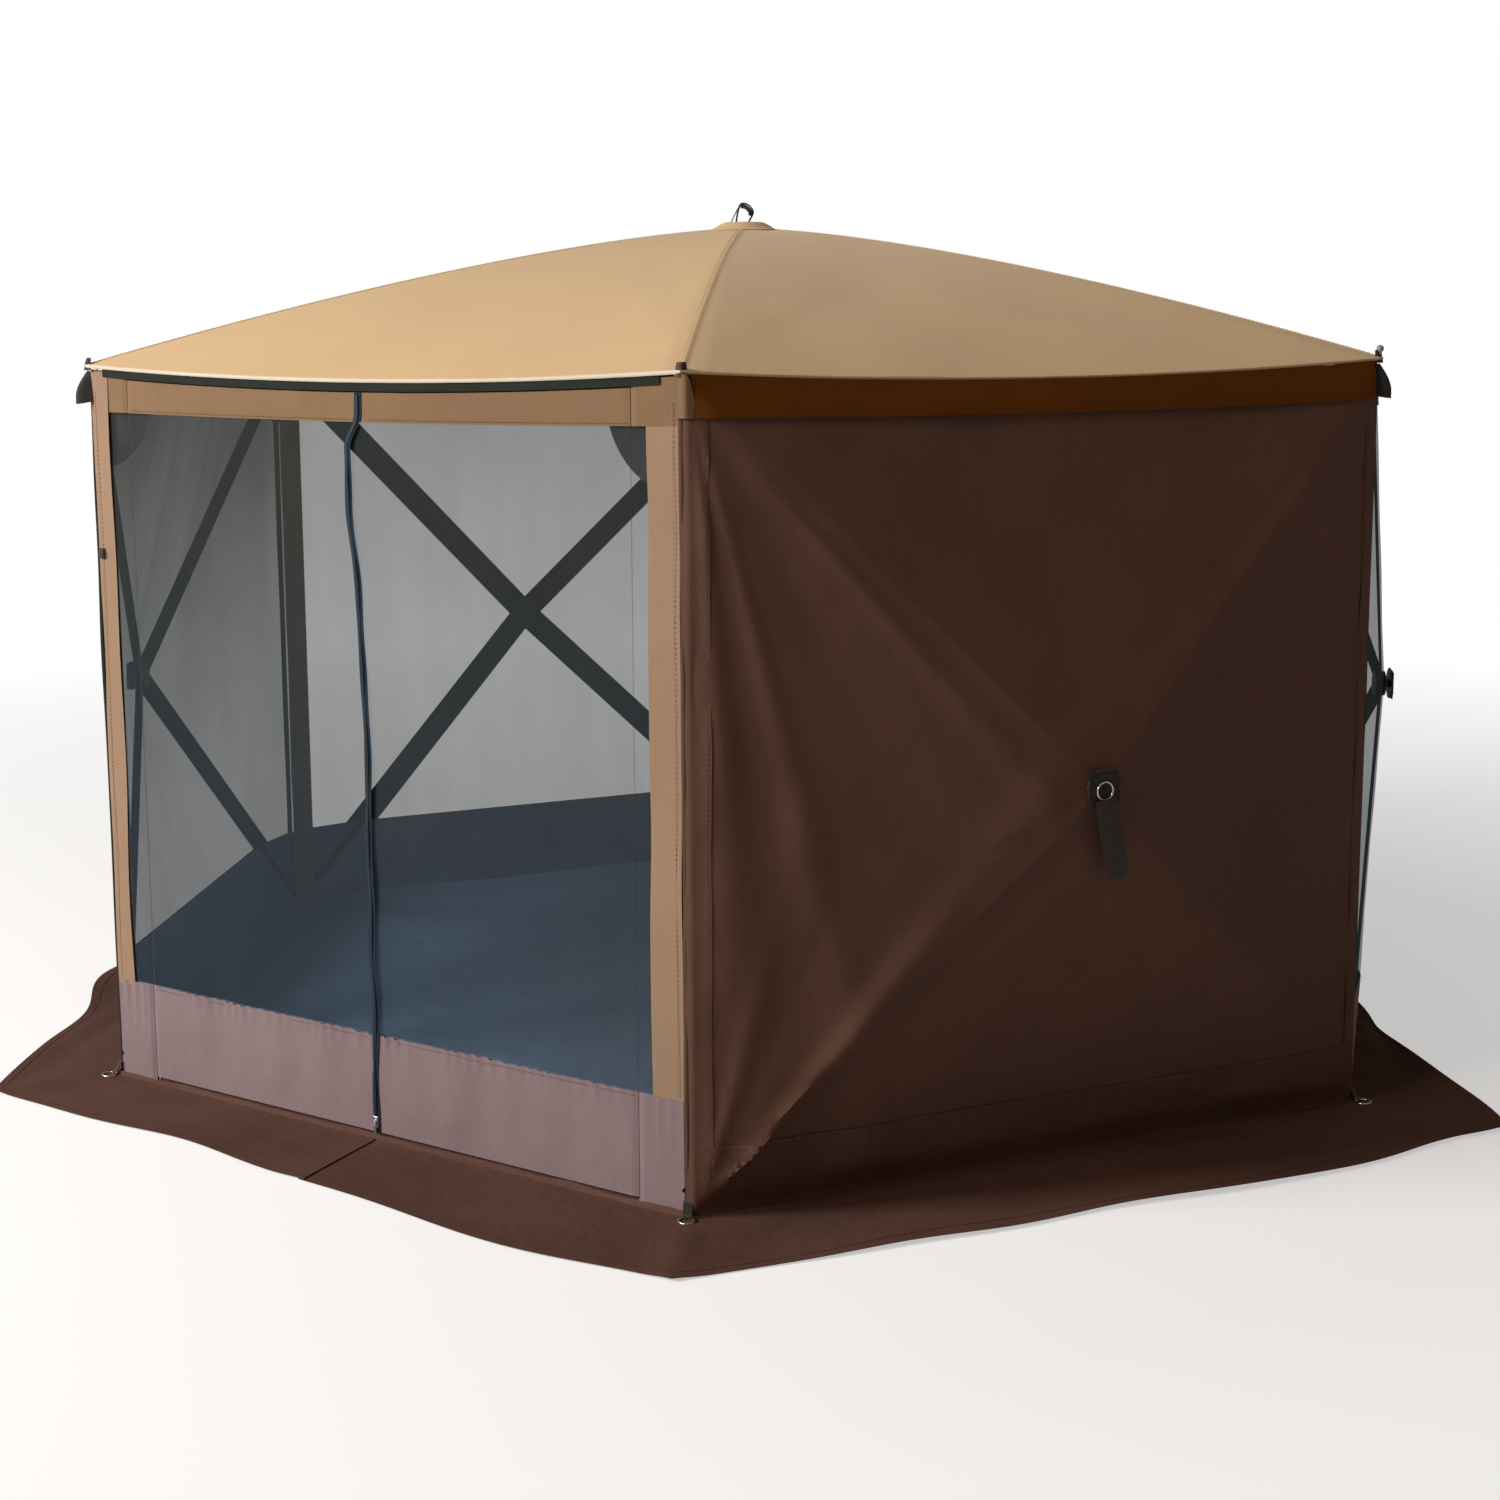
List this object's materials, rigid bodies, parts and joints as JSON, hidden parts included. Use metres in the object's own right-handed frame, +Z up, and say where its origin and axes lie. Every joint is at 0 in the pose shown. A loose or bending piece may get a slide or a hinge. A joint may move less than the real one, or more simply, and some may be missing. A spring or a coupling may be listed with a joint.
{
  "type": "pop up screen shelter",
  "caption": "Six-sided pop up shelter with hub-tensioned mesh walls, a zipped double-leaf door, a removable wind panel, a domed cloth roof and a ground skirt.",
  "frame": {"origin": "on the ground under the roof hub, at the centre of the six-sided plan", "axes": "+Z up, the front corner points along -Y, and the zipped door is the wall to the left of that corner"},
  "size_m": [3.7204, 4.296, 2.2315],
  "materials": {
    "roof_cloth": "matt coated polyester, tan",
    "screen_mesh": "fine open insect mesh, grey",
    "door_tape": "woven polyester, tan brown",
    "door_mesh": "fine open insect mesh, grey",
    "panel_cloth": "coated polyester, dark brown",
    "skirt_cloth": "coated polyester, dark brown",
    "floor_cloth": "coated polyester, dark slate",
    "corner_tape": "woven webbing, dark brown",
    "pole": "black glass-fibre rod",
    "hub": "black moulded nylon",
    "ring_steel": "plated steel wire",
    "slider_metal": "plated zinc",
    "webbing": "woven webbing, dark"
  },
  "bodies": {
    "shelter": {"roof_canopy": "roof_cloth", "screen_front_right": "screen_mesh", "screen_right": "screen_mesh", "screen_back_right": "screen_mesh", "screen_back_left": "screen_mesh", "screen_left": "screen_mesh", "wind_panel": "panel_cloth", "door_frame": "door_tape", "corner_seam_front": "corner_tape", "corner_seam_right": "corner_tape", "corner_seam_back_right": "corner_tape", "corner_seam_back": "corner_tape", "corner_seam_back_left": "corner_tape", "corner_seam_left": "corner_tape", "skirt": "skirt_cloth", "ground_sheet": "floor_cloth"},
    "roof_hub": {"roof_hub": "hub", "roof_strap": "webbing"},
    "roof_pole_front": {"roof_pole_front": "pole"},
    "roof_pole_right": {"roof_pole_right": "pole"},
    "roof_pole_back_right": {"roof_pole_back_right": "pole"},
    "roof_pole_back": {"roof_pole_back": "pole"},
    "roof_pole_back_left": {"roof_pole_back_left": "pole"},
    "roof_pole_left": {"roof_pole_left": "pole"},
    "hub_front_right": {"hub_front_right": "hub"},
    "pole_front_right_upper_right": {"pole_front_right_upper_right": "pole"},
    "pole_front_right_upper_left": {"pole_front_right_upper_left": "pole"},
    "pole_front_right_lower_left": {"pole_front_right_lower_left": "pole"},
    "pole_front_right_lower_right": {"pole_front_right_lower_right": "pole"},
    "hub_right": {"hub_right": "hub"},
    "pole_right_upper_right": {"pole_right_upper_right": "pole"},
    "pole_right_upper_left": {"pole_right_upper_left": "pole"},
    "pole_right_lower_left": {"pole_right_lower_left": "pole"},
    "pole_right_lower_right": {"pole_right_lower_right": "pole"},
    "hub_back_right": {"hub_back_right": "hub"},
    "pole_back_right_upper_right": {"pole_back_right_upper_right": "pole"},
    "pole_back_right_upper_left": {"pole_back_right_upper_left": "pole"},
    "pole_back_right_lower_left": {"pole_back_right_lower_left": "pole"},
    "pole_back_right_lower_right": {"pole_back_right_lower_right": "pole"},
    "hub_back_left": {"hub_back_left": "hub"},
    "pole_back_left_upper_right": {"pole_back_left_upper_right": "pole"},
    "pole_back_left_upper_left": {"pole_back_left_upper_left": "pole"},
    "pole_back_left_lower_left": {"pole_back_left_lower_left": "pole"},
    "pole_back_left_lower_right": {"pole_back_left_lower_right": "pole"},
    "hub_left": {"hub_left": "hub"},
    "pole_left_upper_right": {"pole_left_upper_right": "pole"},
    "pole_left_upper_left": {"pole_left_upper_left": "pole"},
    "pole_left_lower_left": {"pole_left_lower_left": "pole"},
    "pole_left_lower_right": {"pole_left_lower_right": "pole"},
    "door_leaf_left": {"door_leaf_left": "door_mesh"},
    "door_leaf_right": {"door_leaf_right": "door_mesh"},
    "zip_slider": {"zip_slider": "slider_metal"},
    "hub_ring": {"hub_ring": "ring_steel"},
    "pull_strap": {"pull_strap": "webbing"},
    "stake_ring_front": {"stake_ring_front": "ring_steel"},
    "stake_ring_right": {"stake_ring_right": "ring_steel"},
    "stake_ring_back_right": {"stake_ring_back_right": "ring_steel"},
    "stake_ring_back": {"stake_ring_back": "ring_steel"},
    "stake_ring_back_left": {"stake_ring_back_left": "ring_steel"},
    "stake_ring_left": {"stake_ring_left": "ring_steel"}
  },
  "joints": [
    {"name": "roof_hub_pop", "type": "slide", "parent": "shelter", "child": "roof_hub", "axis": [0, 0, -1], "range_m": [0, 0.6438], "deforming": ["roof_canopy"]},
    {"name": "roof_pole_front_hinge", "type": "hinge", "parent": "roof_hub", "child": "roof_pole_front", "pos_m": [0, -0.028, 2.141], "axis": [-1, 0, 0], "range_deg": [0, 21.32]},
    {"name": "roof_pole_right_hinge", "type": "hinge", "parent": "roof_hub", "child": "roof_pole_right", "pos_m": [0.02425, -0.014, 2.141], "axis": [-0.5, -0.866, 0], "range_deg": [0, 21.32]},
    {"name": "roof_pole_back_right_hinge", "type": "hinge", "parent": "roof_hub", "child": "roof_pole_back_right", "pos_m": [0.02425, 0.014, 2.141], "axis": [0.5, -0.866, 0], "range_deg": [0, 21.32]},
    {"name": "roof_pole_back_hinge", "type": "hinge", "parent": "roof_hub", "child": "roof_pole_back", "pos_m": [0, 0.028, 2.141], "axis": [1, 0, 0], "range_deg": [0, 21.32]},
    {"name": "roof_pole_back_left_hinge", "type": "hinge", "parent": "roof_hub", "child": "roof_pole_back_left", "pos_m": [-0.02425, 0.014, 2.141], "axis": [0.5, 0.866, 0], "range_deg": [0, 21.32]},
    {"name": "roof_pole_left_hinge", "type": "hinge", "parent": "roof_hub", "child": "roof_pole_left", "pos_m": [-0.02425, -0.014, 2.141], "axis": [-0.5, 0.866, 0], "range_deg": [0, 21.32]},
    {"name": "hub_front_right_pop", "type": "slide", "parent": "shelter", "child": "hub_front_right", "axis": [-0.5, 0.866, 0], "range_m": [0, 0.4063], "deforming": ["screen_front_right", "wind_panel"]},
    {"name": "pole_front_right_upper_right_hinge", "type": "hinge", "parent": "hub_front_right", "child": "pole_front_right_upper_right", "pos_m": [0.89231, -1.50576, 0.92722], "axis": [0.6098, 0.3521, -0.7101], "range_deg": [0, 19.29]},
    {"name": "pole_front_right_upper_left_hinge", "type": "hinge", "parent": "hub_front_right", "child": "pole_front_right_upper_left", "pos_m": [0.85787, -1.52565, 0.92722], "axis": [0.6098, 0.3521, 0.7101], "range_deg": [0, 19.29]},
    {"name": "pole_front_right_lower_left_hinge", "type": "hinge", "parent": "hub_front_right", "child": "pole_front_right_lower_left", "pos_m": [0.85787, -1.52565, 0.88778], "axis": [-0.6098, -0.3521, 0.7101], "range_deg": [0, 19.29]},
    {"name": "pole_front_right_lower_right_hinge", "type": "hinge", "parent": "hub_front_right", "child": "pole_front_right_lower_right", "pos_m": [0.89231, -1.50576, 0.88778], "axis": [-0.6098, -0.3521, -0.7101], "range_deg": [0, 19.29]},
    {"name": "hub_right_pop", "type": "slide", "parent": "shelter", "child": "hub_right", "axis": [-1, 0, 0], "range_m": [0, 0.4063], "deforming": ["screen_right"]},
    {"name": "pole_right_upper_right_hinge", "type": "hinge", "parent": "hub_right", "child": "pole_right_upper_right", "pos_m": [1.75019, 0.01988, 0.92722], "axis": [0, 0.7041, -0.7101], "range_deg": [0, 19.29]},
    {"name": "pole_right_upper_left_hinge", "type": "hinge", "parent": "hub_right", "child": "pole_right_upper_left", "pos_m": [1.75019, -0.01988, 0.92722], "axis": [0, 0.7041, 0.7101], "range_deg": [0, 19.29]},
    {"name": "pole_right_lower_left_hinge", "type": "hinge", "parent": "hub_right", "child": "pole_right_lower_left", "pos_m": [1.75019, -0.01988, 0.88778], "axis": [0, -0.7041, 0.7101], "range_deg": [0, 19.29]},
    {"name": "pole_right_lower_right_hinge", "type": "hinge", "parent": "hub_right", "child": "pole_right_lower_right", "pos_m": [1.75019, 0.01988, 0.88778], "axis": [0, -0.7041, -0.7101], "range_deg": [0, 19.29]},
    {"name": "hub_back_right_pop", "type": "slide", "parent": "shelter", "child": "hub_back_right", "axis": [-0.5, -0.866, 0], "range_m": [0, 0.4063], "deforming": ["screen_back_right"]},
    {"name": "pole_back_right_upper_right_hinge", "type": "hinge", "parent": "hub_back_right", "child": "pole_back_right_upper_right", "pos_m": [0.85787, 1.52565, 0.92722], "axis": [-0.6098, 0.3521, -0.7101], "range_deg": [0, 19.29]},
    {"name": "pole_back_right_upper_left_hinge", "type": "hinge", "parent": "hub_back_right", "child": "pole_back_right_upper_left", "pos_m": [0.89231, 1.50576, 0.92722], "axis": [-0.6098, 0.3521, 0.7101], "range_deg": [0, 19.29]},
    {"name": "pole_back_right_lower_left_hinge", "type": "hinge", "parent": "hub_back_right", "child": "pole_back_right_lower_left", "pos_m": [0.89231, 1.50576, 0.88778], "axis": [0.6098, -0.3521, 0.7101], "range_deg": [0, 19.29]},
    {"name": "pole_back_right_lower_right_hinge", "type": "hinge", "parent": "hub_back_right", "child": "pole_back_right_lower_right", "pos_m": [0.85787, 1.52565, 0.88778], "axis": [0.6098, -0.3521, -0.7101], "range_deg": [0, 19.29]},
    {"name": "hub_back_left_pop", "type": "slide", "parent": "shelter", "child": "hub_back_left", "axis": [0.5, -0.866, 0], "range_m": [0, 0.4063], "deforming": ["screen_back_left"]},
    {"name": "pole_back_left_upper_right_hinge", "type": "hinge", "parent": "hub_back_left", "child": "pole_back_left_upper_right", "pos_m": [-0.89231, 1.50576, 0.92722], "axis": [-0.6098, -0.3521, -0.7101], "range_deg": [0, 19.29]},
    {"name": "pole_back_left_upper_left_hinge", "type": "hinge", "parent": "hub_back_left", "child": "pole_back_left_upper_left", "pos_m": [-0.85787, 1.52565, 0.92722], "axis": [-0.6098, -0.3521, 0.7101], "range_deg": [0, 19.29]},
    {"name": "pole_back_left_lower_left_hinge", "type": "hinge", "parent": "hub_back_left", "child": "pole_back_left_lower_left", "pos_m": [-0.85787, 1.52565, 0.88778], "axis": [0.6098, 0.3521, 0.7101], "range_deg": [0, 19.29]},
    {"name": "pole_back_left_lower_right_hinge", "type": "hinge", "parent": "hub_back_left", "child": "pole_back_left_lower_right", "pos_m": [-0.89231, 1.50576, 0.88778], "axis": [0.6098, 0.3521, -0.7101], "range_deg": [0, 19.29]},
    {"name": "hub_left_pop", "type": "slide", "parent": "shelter", "child": "hub_left", "axis": [1, 0, 0], "range_m": [0, 0.4063], "deforming": ["screen_left"]},
    {"name": "pole_left_upper_right_hinge", "type": "hinge", "parent": "hub_left", "child": "pole_left_upper_right", "pos_m": [-1.75019, -0.01988, 0.92722], "axis": [0, -0.7041, -0.7101], "range_deg": [0, 19.29]},
    {"name": "pole_left_upper_left_hinge", "type": "hinge", "parent": "hub_left", "child": "pole_left_upper_left", "pos_m": [-1.75019, 0.01988, 0.92722], "axis": [0, -0.7041, 0.7101], "range_deg": [0, 19.29]},
    {"name": "pole_left_lower_left_hinge", "type": "hinge", "parent": "hub_left", "child": "pole_left_lower_left", "pos_m": [-1.75019, 0.01988, 0.88778], "axis": [0, 0.7041, 0.7101], "range_deg": [0, 19.29]},
    {"name": "pole_left_lower_right_hinge", "type": "hinge", "parent": "hub_left", "child": "pole_left_lower_right", "pos_m": [-1.75019, -0.01988, 0.88778], "axis": [0, 0.7041, -0.7101], "range_deg": [0, 19.29]},
    {"name": "door_leaf_left_swing", "type": "hinge", "parent": "shelter", "child": "door_leaf_left", "pos_m": [-1.4376, -0.96, 0], "axis": [0, 0, -1], "range_deg": [0, 110]},
    {"name": "door_leaf_right_swing", "type": "hinge", "parent": "shelter", "child": "door_leaf_right", "pos_m": [-0.11258, -1.725, 0], "axis": [0, 0, 1], "range_deg": [0, 110]},
    {"name": "zip_slider_run", "type": "slide", "parent": "door_leaf_left", "child": "zip_slider", "axis": [0, 0, 1], "range_m": [0, 1.66]},
    {"name": "hub_ring_swing", "type": "hinge", "parent": "hub_front_right", "child": "hub_ring", "pos_m": [0.89134, -1.54385, 0.923], "axis": [-0.866, -0.5, 0], "range_deg": [0, 90]},
    {"name": "pull_strap_swing", "type": "hinge", "parent": "hub_ring", "child": "pull_strap", "pos_m": [0.89134, -1.54385, 0.892], "axis": [-0.866, -0.5, 0], "range_deg": [0, 90]},
    {"name": "stake_ring_front_lift", "type": "hinge", "parent": "shelter", "child": "stake_ring_front", "pos_m": [0, -1.808, 0.0063], "axis": [-1, 0, 0], "range_deg": [0, 90]},
    {"name": "stake_ring_right_lift", "type": "hinge", "parent": "shelter", "child": "stake_ring_right", "pos_m": [1.56577, -0.904, 0.0063], "axis": [-0.5, -0.866, 0], "range_deg": [0, 90]},
    {"name": "stake_ring_back_right_lift", "type": "hinge", "parent": "shelter", "child": "stake_ring_back_right", "pos_m": [1.56577, 0.904, 0.0063], "axis": [0.5, -0.866, 0], "range_deg": [0, 90]},
    {"name": "stake_ring_back_lift", "type": "hinge", "parent": "shelter", "child": "stake_ring_back", "pos_m": [0, 1.808, 0.0063], "axis": [1, 0, 0], "range_deg": [0, 90]},
    {"name": "stake_ring_back_left_lift", "type": "hinge", "parent": "shelter", "child": "stake_ring_back_left", "pos_m": [-1.56577, 0.904, 0.0063], "axis": [0.5, 0.866, 0], "range_deg": [0, 90]},
    {"name": "stake_ring_left_lift", "type": "hinge", "parent": "shelter", "child": "stake_ring_left", "pos_m": [-1.56577, -0.904, 0.0063], "axis": [-0.5, 0.866, 0], "range_deg": [0, 90]}
  ],
  "couplings": [
    {"joint": "roof_pole_front_hinge", "follows": "roof_hub_pop", "rad_per_m": 0.57733},
    {"joint": "roof_pole_right_hinge", "follows": "roof_hub_pop", "rad_per_m": 0.57733},
    {"joint": "roof_pole_back_right_hinge", "follows": "roof_hub_pop", "rad_per_m": 0.57733},
    {"joint": "roof_pole_back_hinge", "follows": "roof_hub_pop", "rad_per_m": 0.57733},
    {"joint": "roof_pole_back_left_hinge", "follows": "roof_hub_pop", "rad_per_m": 0.57733},
    {"joint": "roof_pole_left_hinge", "follows": "roof_hub_pop", "rad_per_m": 0.57733},
    {"joint": "pole_front_right_upper_right_hinge", "follows": "hub_front_right_pop", "rad_per_m": 0.82786},
    {"joint": "pole_front_right_upper_left_hinge", "follows": "hub_front_right_pop", "rad_per_m": 0.82786},
    {"joint": "pole_front_right_lower_left_hinge", "follows": "hub_front_right_pop", "rad_per_m": 0.82786},
    {"joint": "pole_front_right_lower_right_hinge", "follows": "hub_front_right_pop", "rad_per_m": 0.82786},
    {"joint": "pole_right_upper_right_hinge", "follows": "hub_right_pop", "rad_per_m": 0.82786},
    {"joint": "pole_right_upper_left_hinge", "follows": "hub_right_pop", "rad_per_m": 0.82786},
    {"joint": "pole_right_lower_left_hinge", "follows": "hub_right_pop", "rad_per_m": 0.82786},
    {"joint": "pole_right_lower_right_hinge", "follows": "hub_right_pop", "rad_per_m": 0.82786},
    {"joint": "pole_back_right_upper_right_hinge", "follows": "hub_back_right_pop", "rad_per_m": 0.82786},
    {"joint": "pole_back_right_upper_left_hinge", "follows": "hub_back_right_pop", "rad_per_m": 0.82786},
    {"joint": "pole_back_right_lower_left_hinge", "follows": "hub_back_right_pop", "rad_per_m": 0.82786},
    {"joint": "pole_back_right_lower_right_hinge", "follows": "hub_back_right_pop", "rad_per_m": 0.82786},
    {"joint": "pole_back_left_upper_right_hinge", "follows": "hub_back_left_pop", "rad_per_m": 0.82786},
    {"joint": "pole_back_left_upper_left_hinge", "follows": "hub_back_left_pop", "rad_per_m": 0.82786},
    {"joint": "pole_back_left_lower_left_hinge", "follows": "hub_back_left_pop", "rad_per_m": 0.82786},
    {"joint": "pole_back_left_lower_right_hinge", "follows": "hub_back_left_pop", "rad_per_m": 0.82786},
    {"joint": "pole_left_upper_right_hinge", "follows": "hub_left_pop", "rad_per_m": 0.82786},
    {"joint": "pole_left_upper_left_hinge", "follows": "hub_left_pop", "rad_per_m": 0.82786},
    {"joint": "pole_left_lower_left_hinge", "follows": "hub_left_pop", "rad_per_m": 0.82786},
    {"joint": "pole_left_lower_right_hinge", "follows": "hub_left_pop", "rad_per_m": 0.82786}
  ]
}
